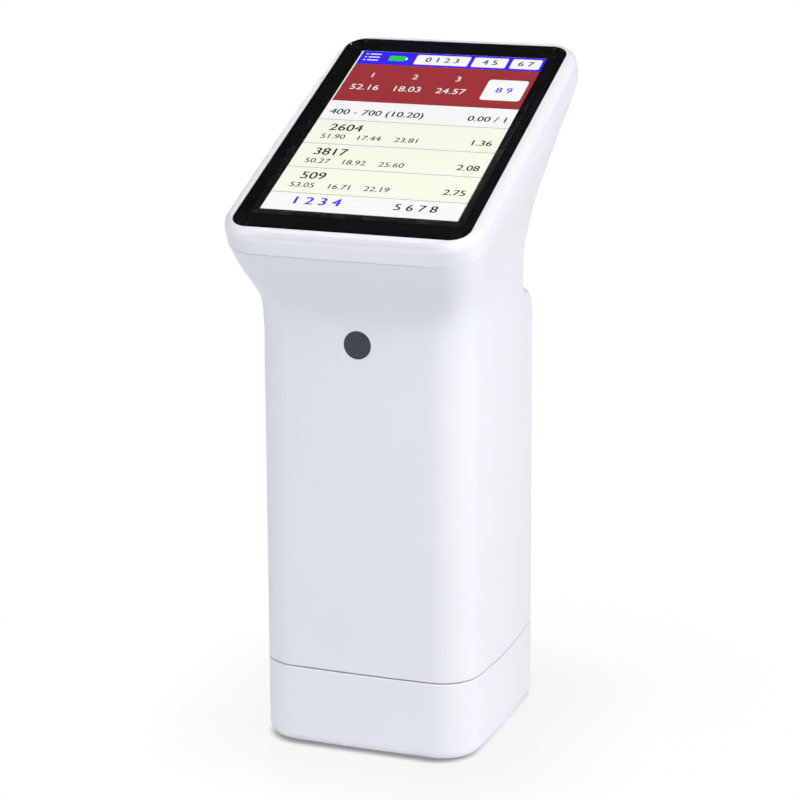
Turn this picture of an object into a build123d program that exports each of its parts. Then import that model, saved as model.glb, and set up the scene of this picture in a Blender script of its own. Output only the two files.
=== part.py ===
from build123d import *
from math import acos, atan2, cos, degrees, hypot, radians, sin, sqrt, tan
import os

# Portable colorimeter: a tall column with a tilted touch screen on top, a measuring head at the
# bottom and a push-on cap that holds the white reference tile.
# Millimetres. +Z is up, +Y points to the back and +X to the right of someone facing the screen.
# The origin is the centre of the face that the instrument stands on.

# Column: a rounded rectangle whose four faces swell a little
column_width = 52.6
column_depth = 56.9
column_corner_radius = 9.5
side_swell = 1.9
face_swell = 0.7
draft_slope = 0.003
wall = 2.2
cap_height = 19.8
seam_gap = 0.3
rim_edge_radius = 0.3
rib_depth = 0.9
rib_height = 2.0
column_sections = 20

# Neck: front flare, rear ledge, scoop and sloping underside
ledge_base_height = 101.5
ledge_radius = 5.6
ledge_depth = 6.3
scoop_radius = 19.0
scoop_rise = 13.5
scoop_depth = 8.0
flare_rise = 3.5
flare_lower_pull = 7.0
flare_upper_pull = 11.0
flare_ease = 0.85

# Head, on planes parallel to the glass; rises are measured from the ledge's base
screen_tilt = 22.5
glass_width = 58.4
glass_length = 86.9
glass_thickness = 1.1
glass_corner_radius = 4.5
glass_recess = 0.1
glass_clearance = 0.1
glass_centre_y = 3.6
glass_rise = 45.2
rim_width = 3.0
rim_length = 3.25
head_corner_radius = 9.5
head_swell = 0.25
frame_height = 5.7
frame_edge_radius = 2.3
frame_floor_thickness = 1.8
lip_clearance = 0.6

# Display stack below the glass
border_side = 4.72
border_top = 5.03
border_bottom = 8.43
border_thickness = 0.15
panel_margin = 1.8
panel_thickness = 1.8
tray_thickness = 1.8
tray_wall = 0.5
gasket_thickness = 1.6
stack_clearance = 0.2
floor_opening_width = 30.0
floor_opening_length = 48.0
floor_opening_radius = 3.0
display_ribbon_width = 16.0
display_ribbon_shift = -20.0
ribbon_thickness = 0.3

# Main board
board_thickness = 1.6
board_width = 41.0
board_length = 68.0
board_shift = -3.0
boss_height = 1.2
boss_radius = 2.3
boss_inset = 3.0
chip_height = 1.2
buzzer_radius = 4.5
buzzer_height = 2.4
buzzer_place = (-11.0, 26.0)
shield_width = 14.0
shield_length = 16.0
shield_height = 1.8
shield_wall = 0.3
shield_place = (8.0, -18.0)
processor_side = 12.0
processor_place = (0.0, 12.0)
memory_width = 9.0
memory_length = 11.0
memory_place = (-12.0, 2.0)

# Chassis
chassis_wall = 2.4
spine_y = 6.0
spine_width = 40.0
spine_bite = 0.9
flange_gap = 0.6
flange_width = 52.0
flange_length = 37.0
flange_shift = -4.0
flange_corner_radius = 3.0
post_radius = 2.3
post_inset = 2.6
leg_outer_x = 23.9
leg_thickness = 2.2
leg_half_depth = 13.8
foot_radius = 2.6
foot_height = 7.0
foot_x = 20.9
foot_y = 13.8
shelf_gap = 2.2
shelf_tongue_width = 28.0
shelf_tongue_y = 24.0
signal_ribbon_width = 7.0
signal_ribbon_x = 0.0
signal_ribbon_gap = 0.2
ribbon_slot_margin = 0.6
socket_length = 3.6

# Battery and charge board
battery_width = 36.0
battery_height = 52.0
battery_thickness = 9.0
battery_edge_radius = 2.0
strap_width = 10.0
strap_thickness = 0.5
battery_gap = 0.2
charge_board_width = 24.0
charge_board_front_y = 8.4
charge_board_rear_y = 25.4
usb_width = 8.9
usb_height = 3.2
usb_length = 7.3
usb_wall = 0.3
usb_recess = 0.25
usb_tongue_width = 6.6
usb_tongue_height = 0.7
usb_tongue_length = 5.0
usb_clearance = 0.35

# Measure key
key_width = 14.0
key_height = 8.0
key_proud = 1.0
key_edge_radius = 0.6
key_clearance = 0.3
key_flange = 1.2
key_flange_thickness = 1.0
key_travel = 0.5
plunger_radius = 1.7
plunger_clearance = 0.08
plunger_length = 1.8
stop_clearance = 0.1
switch_side = 6.0
switch_height = 3.2
key_board_width = 19.0
key_board_height = 18.0
key_post_x = 7.0

# Base plate and its collar
collar_depth = 9.8
collar_wall = 2.0
collar_clearance = 0.3
fixed_clearance = 0.15
floor_thickness = 2.6
skirt_height = 5.0
skirt_wall = 0.9
floor_bottom = 20.2
band_height = 14.2
band_width = 2.0
band_depth = 0.9
band_gap = 0.15
band_clearance = 0.05

# Cap
cap_floor = 3.0
cap_edge_radius = 2.4
tile_radius = 16.0
tile_thickness = 4.4
cushion_thickness = 0.6
holder_wall = 2.2
holder_height = 3.6
contact_gap = 0.3

# Measuring head: lamps at 45 degrees around a vertical viewing bore
aperture_radius = 2.0
aperture_land = 0.6
nose_tip_radius = 5.5
nose_height = 4.0
nose_mouth_radius = 6.8
nose_flange_radius = 9.5
nose_flange = 1.4
window_thickness = 1.0
window_radius = 7.6
cavity_radius = 6.6
lamp_count = 8
lamp_radius = 1.5
lamp_length = 4.4
lamp_rim_radius = 1.75
lamp_rim_thickness = 0.7
lamp_clearance = 0.1
lamp_inner_slant = 8.5
lamp_outer_slant = 17.0
hub_radius = 5.2
view_bore_radius = 2.4
pocket_radius = 13.8
housing_radius = 16.6
housing_flange_radius = 21.5
housing_flange_thickness = 2.4
ring_board_thickness = 1.2
ring_board_radius = 15.0
ring_seat_drop = 1.2
lead_side = 0.5
tube_radius = 6.4
tube_bore_radius = 5.0
tube_length = 17.0
tube_step = 4.4
spigot_radius = 4.0
spigot_length = 3.2
hub_top_rise = 3.4
lens_thickness = 2.6
lens_bulge = 0.7
lens_radius = 4.9
lens_ring_thickness = 1.6
lens_ring_bore_radius = 3.4
filter_thickness = 1.0
sensor_board_width = 34.0
sensor_board_depth = 24.0
sensor_board_thickness = 1.2
sensor_side = 5.0
sensor_thickness = 1.0
sensor_boss_x = 14.0
sensor_boss_y = 9.0

# Screws
screw_radius = 1.0
screw_head_radius = 1.9
screw_head_height = 1.2
screw_clearance = 0.1
screw_bite = 1.4

# Derived places
scoop_height = ledge_base_height + scoop_rise
flare_start_height = ledge_base_height + flare_rise
glass_centre_z = ledge_base_height + glass_rise
head_width = glass_width + 2 * rim_width
head_length = glass_length + 2 * rim_length
active_width = glass_width - 2 * border_side
active_length = glass_length - border_top - border_bottom
active_shift = (border_bottom - border_top) / 2
seam_bottom = cap_height - seam_gap / 2
seam_top = cap_height + seam_gap / 2
front_face_y = -(column_depth / 2 + face_swell)
rear_face_y = -front_face_y
tilt = radians(screen_tilt)


def head_plane(level, shift=0.0):
    """Plane parallel to the glass, at a level above its face (below is negative) and up-slope by shift."""
    y = glass_centre_y + shift * cos(tilt) - level * sin(tilt)
    z = glass_centre_z + shift * sin(tilt) + level * cos(tilt)
    return Plane(origin=(0, y, z), x_dir=(1, 0, 0), z_dir=(0, -sin(tilt), cos(tilt)))


def slope_height(level, y):
    """Height at which the plane parallel to the glass at this level passes over the given y."""
    base = head_plane(level).origin
    return base.Z + (y - base.Y) * tan(tilt)


def swollen_outline(plane, width, depth, swell_x, swell_y, radius, inset=0.0, ring=0.0):
    """Rounded rectangle with swollen faces; width and depth are corner to corner, ring leaves a loop."""
    loops = [(inset, Mode.ADD)]
    if ring:
        loops.append((inset + ring, Mode.SUBTRACT))
    with BuildSketch(plane) as outline:
        for margin, mode in loops:
            w = width / 2 - margin
            d = depth / 2 - margin
            with BuildLine() as loop:
                ThreePointArc((-w, -d), (0, -d - swell_y), (w, -d))
                ThreePointArc((w, -d), (w + swell_x, 0), (w, d))
                ThreePointArc((w, d), (0, d + swell_y), (-w, d))
                ThreePointArc((-w, d), (-w - swell_x, 0), (-w, -d))
                fillet(loop.vertices(), radius - margin)
            make_face(mode=mode)
    return outline.sketch


def column_section(height, inset=0.0, ring=0.0):
    """Level section of the column, drawn in a little as it rises."""
    return swollen_outline(
        Plane.XY.offset(height),
        column_width,
        column_depth,
        side_swell,
        face_swell,
        column_corner_radius,
        inset + draft_slope * height,
        ring,
    )


def head_section(level):
    """Section of the head frame on a plane parallel to the glass."""
    return swollen_outline(
        head_plane(level),
        head_width - 2 * head_swell,
        head_length - 2 * head_swell,
        head_swell,
        head_swell,
        head_corner_radius,
    )


def under_head(level):
    """Plane parallel to the glass that faces down, its second axis running down-slope."""
    return -head_plane(level)


def rear_plane(y):
    """Upright plane that faces back, its second axis running up."""
    return Plane(origin=(0, y, 0), x_dir=(-1, 0, 0), z_dir=(0, 1, 0))


def corners(half_x, half_y, centre_y=0.0):
    """Four places at the corners of a rectangle."""
    return [(x, centre_y + y) for x in (-half_x, half_x) for y in (-half_y, half_y)]


def screws(places, plane, length):
    """Pan-head screws at places on a plane: heads stand above it, shanks go down through it."""
    with BuildPart() as group:
        with BuildSketch(plane):
            with Locations(*places):
                Circle(screw_head_radius)
        extrude(amount=screw_head_height)
        with BuildSketch(plane):
            with Locations(*places):
                Circle(screw_radius)
        extrude(amount=-length)
    return group.part


def finish(piece, name):
    """Name a finished piece and write it."""
    piece.label = name
    export_step(piece, "parts/" + name + ".step")


os.makedirs("parts", exist_ok=True)

# Neck rails in the side view: the front and rear lines that the neck's sections hang between
column_top_inset = draft_slope * ledge_base_height
rail_front_y = front_face_y + column_top_inset
rail_rear_y = rear_face_y - column_top_inset
seam_front = head_plane(-frame_height, -head_length / 2).origin
seam_rear = head_plane(-frame_height, head_length / 2).origin
head_normal = head_plane(0).z_dir

with BuildLine() as front_rail:
    flare_start = Vector(0, rail_front_y, flare_start_height)
    Line((0, rail_front_y, ledge_base_height), flare_start)
    Bezier(
        flare_start,
        flare_start + Vector(0, 0, flare_lower_pull),
        seam_front - head_normal * flare_upper_pull,
        seam_front,
    )

scoop_centre_y = rail_rear_y - scoop_depth + scoop_radius
to_seam_y = seam_rear.Y - scoop_centre_y
to_seam_z = seam_rear.Z - scoop_height
underside_start = degrees(atan2(to_seam_z, to_seam_y) + acos(scoop_radius / hypot(to_seam_y, to_seam_z)))
underside_slope = underside_start - 90
scoop_foot = 180 + degrees(acos((scoop_depth - ledge_depth) * -1 / scoop_radius + 1))

with BuildLine(Plane.YZ) as ledge_rail:
    CenterArc((rail_rear_y - ledge_radius, ledge_base_height), ledge_radius, 0, 90)
with BuildLine(Plane.YZ) as scoop_rail:
    CenterArc((scoop_centre_y, scoop_height), scoop_radius, scoop_foot, underside_start - scoop_foot)
with BuildLine() as underside_rail:
    Line(scoop_rail.line @ 1, seam_rear)

# Stations of the neck: a point of the front rail and the point of the rear rails that it is tied to
stations = [
    (front_rail.line @ 0.00, ledge_rail.line @ 0.0),
    (front_rail.line @ 0.03, ledge_rail.line @ 0.4),
    (front_rail.line @ 0.06, ledge_rail.line @ 0.8),
    (front_rail.line @ 0.10, scoop_rail.line @ 0.0),
    (front_rail.line @ 0.14, scoop_rail.line @ 0.3),
    (front_rail.line @ 0.20, scoop_rail.line @ 0.6),
    (front_rail.line @ 0.28, scoop_rail.line @ 1.0),
    (front_rail.line @ 0.36, underside_rail.line @ 0.22),
    (front_rail.line @ 0.50, underside_rail.line @ 0.42),
    (front_rail.line @ 0.70, underside_rail.line @ 0.66),
    (front_rail.line @ 0.90, underside_rail.line @ 0.85),
    (front_rail.line @ 1.00, underside_rail.line @ 1.0),
]


def neck_section(front, rear, front_inset=0.0, rear_inset=0.0, side_inset=0.0):
    """Section of the neck on the plane through a front and a rear point, blended from column to head."""
    flare = abs((rail_front_y - front.Y) / (rail_front_y - seam_front.Y)) ** flare_ease

    def blend(column_value, head_value):
        return column_value + (head_value - column_value) * flare

    along = (rear - front).normalized()
    start = front + along * front_inset
    end = rear - along * rear_inset
    swell_x = blend(side_swell, head_swell)
    swell_y = blend(face_swell, head_swell)
    overall = blend(column_width + 2 * side_swell - 2 * column_top_inset, head_width)
    radius = blend(column_corner_radius, head_corner_radius)
    return swollen_outline(
        Plane(origin=(start + end) / 2, x_dir=(1, 0, 0), z_dir=Vector(1, 0, 0).cross(along)),
        overall - 2 * swell_x - 2 * side_inset,
        (end - start).length - 2 * swell_y,
        swell_x,
        swell_y,
        radius - max(side_inset, 0),
    )


# Levels of the display stack, measured from the glass face
glass_level = -glass_recess
border_level = glass_level - glass_thickness
panel_level = border_level - border_thickness
tray_level = panel_level - panel_thickness
gasket_level = panel_level - gasket_thickness
frame_floor_level = tray_level - tray_thickness
frame_bottom_level = frame_floor_level - frame_floor_thickness
board_level = frame_bottom_level - boss_height
board_bottom_level = board_level - board_thickness
flange_level = board_bottom_level - buzzer_height - flange_gap
flange_bottom_level = flange_level - chassis_wall
panel_width = active_width + 2 * panel_margin
panel_length = active_length + 2 * panel_margin
recess_width = panel_width + 2 * stack_clearance
recess_length = panel_length + 2 * stack_clearance
pocket_width = glass_width + 2 * glass_clearance
pocket_length = glass_length + 2 * glass_clearance
underside_inset = wall / sin(radians(underside_slope - screen_tilt))
board_places = corners(board_width / 2 - boss_inset, board_length / 2 - boss_inset, board_shift)
post_places = corners(flange_width / 2 - post_inset, flange_length / 2 - post_inset, flange_shift)

# Heights up the column
nose_bottom = cap_floor + cushion_thickness + tile_thickness + contact_gap
nose_top = nose_bottom + nose_height
window_top = nose_top + window_thickness
floor_top = floor_bottom + floor_thickness
flange_top = floor_top + housing_flange_thickness
skirt_top = floor_top + skirt_height
hub_top = flange_top + hub_top_rise
tube_top = hub_top + tube_length
sensor_board_top = tube_top + sensor_board_thickness
shelf_bottom = sensor_board_top + shelf_gap
shelf_top = shelf_bottom + chassis_wall
charge_board_top = shelf_top + board_thickness
usb_centre = charge_board_top + usb_height / 2
battery_bottom = shelf_top + battery_gap
cavity_base = ledge_base_height - 2 * wall

# Depths through the neck
scoop_face_y = scoop_centre_y - scoop_radius
spine_front_y = spine_y - chassis_wall / 2
spine_rear_y = spine_y + chassis_wall / 2
key_shoulder_y = scoop_face_y - wall - fixed_clearance
key_back_y = key_shoulder_y - key_flange_thickness
switch_top_y = key_back_y - key_travel - stop_clearance
switch_base_y = switch_top_y - switch_height
key_board_y = switch_base_y - sensor_board_thickness
spine_top = slope_height(flange_bottom_level, spine_front_y) + spine_bite


def cavity_sections():
    """Sections of the neck's cavity, which starts level inside the column and skips the solid ledge."""
    start = Vector(0, rail_front_y, cavity_base - fixed_clearance)
    rear = Vector(0, scoop_face_y - wall, start.Z)
    inset = wall + fixed_clearance
    sections = [neck_section(start, rear, front_inset=inset, side_inset=inset)]
    for front, rear in stations[4:]:
        steep = min(1, (rear - front).get_angle(Vector(0, 1, 0)) / screen_tilt)
        rear_inset = wall + (underside_inset - wall) * steep**2
        sections.append(neck_section(front, rear, wall, rear_inset, wall))
    return sections


# Column shell: the column, its flared neck, the cavity through both, a rib that the base plate
# meets, the key's opening in the scoop and the socket's opening behind
with BuildPart() as column_shell:
    rise = (ledge_base_height - seam_top) / column_sections
    outline = [column_section(seam_top + rise * index) for index in range(column_sections)]
    outline += [neck_section(front, rear) for front, rear in stations]
    loft(sections=outline)
    bottom_edges = column_shell.faces().sort_by(Axis.Z)[0].outer_wire().edges()
    fillet(bottom_edges, rim_edge_radius)
    loft(
        sections=[column_section(seam_top, wall), column_section(cavity_base, wall)],
        ruled=True,
        mode=Mode.SUBTRACT,
    )
    loft(sections=cavity_sections(), ruled=True, mode=Mode.SUBTRACT)
    rib = column_section(skirt_top, wall - fixed_clearance, rib_depth + fixed_clearance)
    extrude(rib, amount=rib_height)
    with BuildSketch(rear_plane(key_board_y)):
        with Locations((0, scoop_height)):
            SlotOverall(key_width + 2 * key_clearance, key_height + 2 * key_clearance)
    extrude(amount=rear_face_y - key_board_y, mode=Mode.SUBTRACT)
    with BuildSketch(rear_plane(key_board_y)):
        with Locations((0, scoop_height)):
            seat_margin = key_flange + key_clearance
            SlotOverall(key_width + 2 * seat_margin, key_height + 2 * seat_margin)
    extrude(amount=key_shoulder_y + fixed_clearance - key_board_y, mode=Mode.SUBTRACT)
    with BuildSketch(rear_plane(spine_rear_y)):
        with Locations((0, usb_centre)):
            SlotOverall(usb_width + 2 * usb_clearance, usb_height + 2 * usb_clearance)
    extrude(amount=rear_face_y, mode=Mode.SUBTRACT)
finish(column_shell.part, "column_shell")

# Head frame: the bezel around the glass, its floor set inside the shell, bosses for the main board
lip_side_inset = wall + lip_clearance
lip_drop = -frame_bottom_level - frame_height
lip_rear_inset = underside_inset + lip_drop / tan(radians(underside_slope - screen_tilt)) + lip_clearance
lip_length = head_length - lip_side_inset - lip_rear_inset
lip_shift = (lip_side_inset - lip_rear_inset) / 2

with BuildPart() as head_frame:
    extrude(head_section(-frame_height), amount=frame_height)
    with BuildSketch(head_plane(frame_bottom_level, lip_shift)):
        RectangleRounded(head_width - 2 * lip_side_inset, lip_length, head_corner_radius - wall)
    extrude(amount=lip_drop + frame_floor_thickness)
    with BuildSketch(head_plane(board_level)):
        with Locations(*board_places):
            Circle(boss_radius)
    extrude(amount=boss_height + frame_floor_thickness / 2)
    top_edges = head_frame.faces().sort_by(Axis(head_plane(0).origin, head_normal))[-1].edges()
    fillet(top_edges, frame_edge_radius)
    with BuildSketch(head_plane(0)):
        RectangleRounded(pocket_width, pocket_length, glass_corner_radius + glass_clearance)
    extrude(amount=gasket_level, mode=Mode.SUBTRACT)
    with BuildSketch(head_plane(gasket_level, active_shift)):
        Rectangle(recess_width, recess_length)
    extrude(amount=frame_floor_level - gasket_level, mode=Mode.SUBTRACT)
    with BuildSketch(head_plane(frame_floor_level, board_shift)):
        RectangleRounded(floor_opening_width, floor_opening_length, floor_opening_radius)
    extrude(amount=-frame_floor_thickness, mode=Mode.SUBTRACT)
    with BuildSketch(head_plane(board_level)):
        with Locations(*board_places):
            Circle(screw_radius + screw_clearance)
    extrude(amount=boss_height + screw_bite + screw_clearance, mode=Mode.SUBTRACT)
    with BuildSketch(head_plane(frame_bottom_level)):
        with Locations(*post_places):
            Circle(screw_radius + screw_clearance)
    extrude(amount=screw_bite + screw_clearance, mode=Mode.SUBTRACT)
finish(head_frame.part, "head_frame")

# Cover glass
with BuildPart() as cover_glass:
    with BuildSketch(head_plane(glass_level)):
        RectangleRounded(glass_width, glass_length, glass_corner_radius)
    extrude(amount=-glass_thickness)
finish(cover_glass.part, "cover_glass")

# Border mask: the opaque border on the back of the glass, open over the active area
with BuildPart() as border_mask:
    with BuildSketch(head_plane(border_level)):
        RectangleRounded(glass_width, glass_length, glass_corner_radius)
        with Locations((0, active_shift)):
            Rectangle(active_width, active_length, mode=Mode.SUBTRACT)
    extrude(amount=-border_thickness)
finish(border_mask.part, "border_mask")

# Display gasket: foam between the border and the frame's ledge, around the panel
with BuildPart() as display_gasket:
    with BuildSketch(head_plane(panel_level)):
        RectangleRounded(glass_width, glass_length, glass_corner_radius)
        with Locations((0, active_shift)):
            Rectangle(recess_width, recess_length, mode=Mode.SUBTRACT)
    extrude(amount=-gasket_thickness)
finish(display_gasket.part, "display_gasket")

# Display panel
with BuildPart() as display_panel:
    with BuildSketch(head_plane(panel_level, active_shift)):
        Rectangle(panel_width, panel_length)
    extrude(amount=-panel_thickness)
finish(display_panel.part, "display_panel")

# Backlight tray: a shallow metal tray, open towards the panel
with BuildPart() as backlight_tray:
    with BuildSketch(head_plane(tray_level, active_shift)):
        Rectangle(panel_width, panel_length)
    extrude(amount=-tray_thickness)
    with BuildSketch(head_plane(tray_level, active_shift)):
        Rectangle(panel_width - 2 * tray_wall, panel_length - 2 * tray_wall)
    extrude(amount=tray_wall - tray_thickness, mode=Mode.SUBTRACT)
finish(backlight_tray.part, "backlight_tray")

# Light guide: the clear sheet that lies in the tray
with BuildPart() as light_guide:
    with BuildSketch(head_plane(tray_level, active_shift)):
        guide_margin = tray_wall + screw_clearance
        Rectangle(panel_width - 2 * guide_margin, panel_length - 2 * guide_margin)
    extrude(amount=tray_wall - tray_thickness)
finish(light_guide.part, "light_guide")

# Display ribbon: flexible strip from the tray down to the main board
with BuildPart() as display_ribbon:
    with BuildSketch(head_plane(frame_floor_level, display_ribbon_shift)):
        Rectangle(display_ribbon_width, ribbon_thickness)
    extrude(amount=board_level - frame_floor_level)
finish(display_ribbon.part, "display_ribbon")

# Main board, with clearance holes for its screws
with BuildPart() as main_board:
    with BuildSketch(head_plane(board_level)):
        with Locations((0, board_shift)):
            Rectangle(board_width, board_length)
        with Locations(*board_places):
            Circle(screw_radius + screw_clearance, mode=Mode.SUBTRACT)
    extrude(amount=-board_thickness)
finish(main_board.part, "main_board")

# Board screws: heads under the main board
under_board_places = [(x, -y) for x, y in board_places]
board_screw_length = board_thickness + boss_height + screw_bite
board_screws = screws(under_board_places, under_head(board_bottom_level), board_screw_length)
finish(board_screws, "board_screws")

# Board chips: processor, memory and the ribbon's socket on the board's underside
socket_y = (charge_board_front_y + spine_rear_y) / 2
socket_shift = (socket_y - head_plane(board_bottom_level - chip_height).origin.Y) / cos(tilt)
with BuildPart() as board_chips:
    with BuildSketch(under_head(board_bottom_level)):
        with Locations(processor_place):
            Rectangle(processor_side, processor_side)
        with Locations(memory_place):
            Rectangle(memory_width, memory_length)
        with Locations((signal_ribbon_x, -socket_shift)):
            Rectangle(signal_ribbon_width, socket_length)
    extrude(amount=chip_height)
finish(board_chips.part, "board_chips")

# Radio shield: a sheet-metal can, open towards the board
with BuildPart() as radio_shield:
    with BuildSketch(under_head(board_bottom_level)):
        with Locations(shield_place):
            Rectangle(shield_width, shield_length)
    extrude(amount=shield_height)
    with BuildSketch(under_head(board_bottom_level)):
        with Locations(shield_place):
            Rectangle(shield_width - 2 * shield_wall, shield_length - 2 * shield_wall)
    extrude(amount=shield_height - shield_wall, mode=Mode.SUBTRACT)
finish(radio_shield.part, "radio_shield")

# Buzzer
with BuildPart() as buzzer:
    with BuildSketch(under_head(board_bottom_level)):
        with Locations(buzzer_place):
            Circle(buzzer_radius)
    extrude(amount=buzzer_height)
finish(buzzer.part, "buzzer")

# Chassis: flange under the head, spine down the column, shelf and two legs over the measuring head
foot_places = corners(foot_x, foot_y)
sensor_places = corners(sensor_boss_x, sensor_boss_y)
key_places = [(-key_post_x, scoop_height), (key_post_x, scoop_height)]
slot_width = signal_ribbon_width + 2 * ribbon_slot_margin
slot_depth = ribbon_thickness + 2 * ribbon_slot_margin
ribbon_y = spine_rear_y + signal_ribbon_gap + ribbon_thickness / 2
under_post_places = [(x, -y) for x, y in post_places]

with BuildPart() as chassis:
    with BuildSketch(head_plane(flange_level, flange_shift)):
        RectangleRounded(flange_width, flange_length, flange_corner_radius)
    extrude(amount=-chassis_wall)
    with BuildSketch(head_plane(flange_level)):
        with Locations(*post_places):
            Circle(post_radius)
    extrude(amount=frame_bottom_level - flange_level)
    with BuildSketch(Plane.XY.offset(shelf_top)):
        with Locations((0, spine_y)):
            Rectangle(spine_width, chassis_wall)
    extrude(amount=spine_top - shelf_top)
    with BuildSketch(Plane.XY.offset(shelf_bottom)):
        Rectangle(2 * leg_outer_x, 2 * leg_half_depth)
        with Locations((0, shelf_tongue_y / 2)):
            Rectangle(shelf_tongue_width, shelf_tongue_y)
    extrude(amount=chassis_wall)
    with BuildSketch(Plane.XY.offset(shelf_bottom)):
        for side in (-1, 1):
            with Locations((side * (leg_outer_x - leg_thickness / 2), 0)):
                Rectangle(leg_thickness, 2 * leg_half_depth)
    extrude(amount=floor_top - shelf_bottom)
    with BuildSketch(Plane.XY.offset(floor_top)):
        with Locations(*foot_places):
            Circle(foot_radius)
    extrude(amount=foot_height)
    with BuildSketch(Plane.XY.offset(shelf_bottom)):
        with Locations(*sensor_places):
            Circle(boss_radius)
    extrude(amount=-shelf_gap)
    with BuildSketch(rear_plane(spine_rear_y)):
        with Locations(*key_places):
            Circle(boss_radius)
    extrude(amount=key_board_y - spine_rear_y)
    with BuildSketch(Plane.XY.offset(shelf_bottom)):
        with Locations((signal_ribbon_x, ribbon_y)):
            Rectangle(slot_width, slot_depth)
    extrude(amount=chassis_wall, mode=Mode.SUBTRACT)
    with BuildSketch(Plane.XY.offset(spine_top - 2 * chassis_wall)):
        with Locations((signal_ribbon_x, ribbon_y)):
            Rectangle(slot_width, ribbon_thickness + 2 * signal_ribbon_gap)
    extrude(amount=4 * chassis_wall, mode=Mode.SUBTRACT)
    with BuildSketch(under_head(flange_bottom_level)):
        with Locations(*under_post_places):
            Circle(screw_radius + screw_clearance)
    extrude(amount=flange_bottom_level - frame_bottom_level, mode=Mode.SUBTRACT)
    with BuildSketch(Plane.XY.offset(floor_top)):
        with Locations(*foot_places):
            Circle(screw_radius + screw_clearance)
    extrude(amount=screw_bite + screw_clearance, mode=Mode.SUBTRACT)
    with BuildSketch(Plane.XY.offset(sensor_board_top)):
        with Locations(*sensor_places):
            Circle(screw_radius + screw_clearance)
    extrude(amount=screw_bite + screw_clearance, mode=Mode.SUBTRACT)
    with BuildSketch(rear_plane(key_board_y)):
        with Locations(*key_places):
            Circle(screw_radius + screw_clearance)
    extrude(amount=-(screw_bite + screw_clearance), mode=Mode.SUBTRACT)
finish(chassis.part, "chassis")

# Frame screws: heads under the flange, up through the posts into the head frame
frame_screw_length = frame_bottom_level - flange_bottom_level + screw_bite
frame_screws = screws(under_post_places, under_head(flange_bottom_level), frame_screw_length)
finish(frame_screws, "frame_screws")

# Signal ribbon: flat cable from the sensor board up to the socket on the main board
ribbon_top = slope_height(board_bottom_level - chip_height, ribbon_y - ribbon_thickness / 2)
with BuildPart() as signal_ribbon:
    with BuildSketch(Plane.XY.offset(sensor_board_top)):
        with Locations((signal_ribbon_x, ribbon_y)):
            Rectangle(signal_ribbon_width, ribbon_thickness)
    extrude(amount=ribbon_top - screw_clearance - sensor_board_top)
finish(signal_ribbon.part, "signal_ribbon")

# Battery: a flat cell in front of the spine
battery_y = spine_front_y - battery_thickness / 2
with BuildPart() as battery:
    with BuildSketch(Plane.XY.offset(battery_bottom)):
        with Locations((0, battery_y)):
            RectangleRounded(battery_width, battery_thickness, battery_edge_radius)
    extrude(amount=battery_height)
finish(battery.part, "battery")

# Battery strap: a band around the cell, ending on the spine
strap_gap = screw_clearance
with BuildPart() as battery_strap:
    with BuildSketch(Plane.XY.offset(battery_bottom + (battery_height - strap_width) / 2)):
        with Locations((0, battery_y - strap_gap / 2 - strap_thickness / 2)):
            Rectangle(
                battery_width + 2 * (strap_gap + strap_thickness),
                battery_thickness + strap_gap + strap_thickness,
            )
        with Locations((0, battery_y - strap_gap / 2)):
            Rectangle(battery_width + 2 * strap_gap, battery_thickness + strap_gap, mode=Mode.SUBTRACT)
    extrude(amount=strap_width)
finish(battery_strap.part, "battery_strap")

# Charge board on the shelf behind the spine
charge_board_depth = charge_board_rear_y - charge_board_front_y
with BuildPart() as charge_board:
    with BuildSketch(Plane.XY.offset(shelf_top)):
        with Locations((0, charge_board_front_y + charge_board_depth / 2)):
            Rectangle(charge_board_width, charge_board_depth)
    extrude(amount=board_thickness)
finish(charge_board.part, "charge_board")

# Charge socket: a metal sleeve with a tongue, its mouth just inside the shell's rear face
mouth_y = rear_face_y - draft_slope * usb_centre - usb_recess
with BuildPart() as charge_socket:
    with BuildSketch(rear_plane(mouth_y)):
        with Locations((0, usb_centre)):
            SlotOverall(usb_width, usb_height)
    extrude(amount=-usb_length)
    with BuildSketch(rear_plane(mouth_y)):
        with Locations((0, usb_centre)):
            SlotOverall(usb_width - 2 * usb_wall, usb_height - 2 * usb_wall)
    extrude(amount=usb_wall - usb_length, mode=Mode.SUBTRACT)
    with BuildSketch(rear_plane(mouth_y - usb_length + usb_wall)):
        with Locations((0, usb_centre)):
            Rectangle(usb_tongue_width, usb_tongue_height)
    extrude(amount=usb_tongue_length)
finish(charge_socket.part, "charge_socket")

# Measure key: a rounded cap with a flange that stays behind the scoop's wall
with BuildPart() as measure_key:
    with BuildSketch(rear_plane(key_back_y)):
        with Locations((0, scoop_height)):
            SlotOverall(key_width + 2 * key_flange, key_height + 2 * key_flange)
    extrude(amount=key_flange_thickness)
    with BuildSketch(rear_plane(key_shoulder_y)):
        with Locations((0, scoop_height)):
            SlotOverall(key_width, key_height)
    extrude(amount=scoop_face_y + key_proud - key_shoulder_y)
    fillet(measure_key.faces().sort_by(Axis.Y)[-1].edges(), key_edge_radius)
finish(measure_key.part, "measure_key")

# Switch plunger: moves with the key, into the switch
with BuildPart() as switch_plunger:
    with BuildSketch(rear_plane(key_back_y)):
        with Locations((0, scoop_height)):
            Circle(plunger_radius)
    extrude(amount=-plunger_length)
finish(switch_plunger.part, "switch_plunger")

# Tact switch: a square body with the plunger's bore
bore_depth = plunger_length - (key_back_y - switch_top_y) + key_travel + stop_clearance
with BuildPart() as tact_switch:
    with BuildSketch(rear_plane(switch_base_y)):
        with Locations((0, scoop_height)):
            Rectangle(switch_side, switch_side)
    extrude(amount=switch_height)
    with BuildSketch(rear_plane(switch_top_y)):
        with Locations((0, scoop_height)):
            Circle(plunger_radius + plunger_clearance)
    extrude(amount=-bore_depth, mode=Mode.SUBTRACT)
finish(tact_switch.part, "tact_switch")

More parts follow.
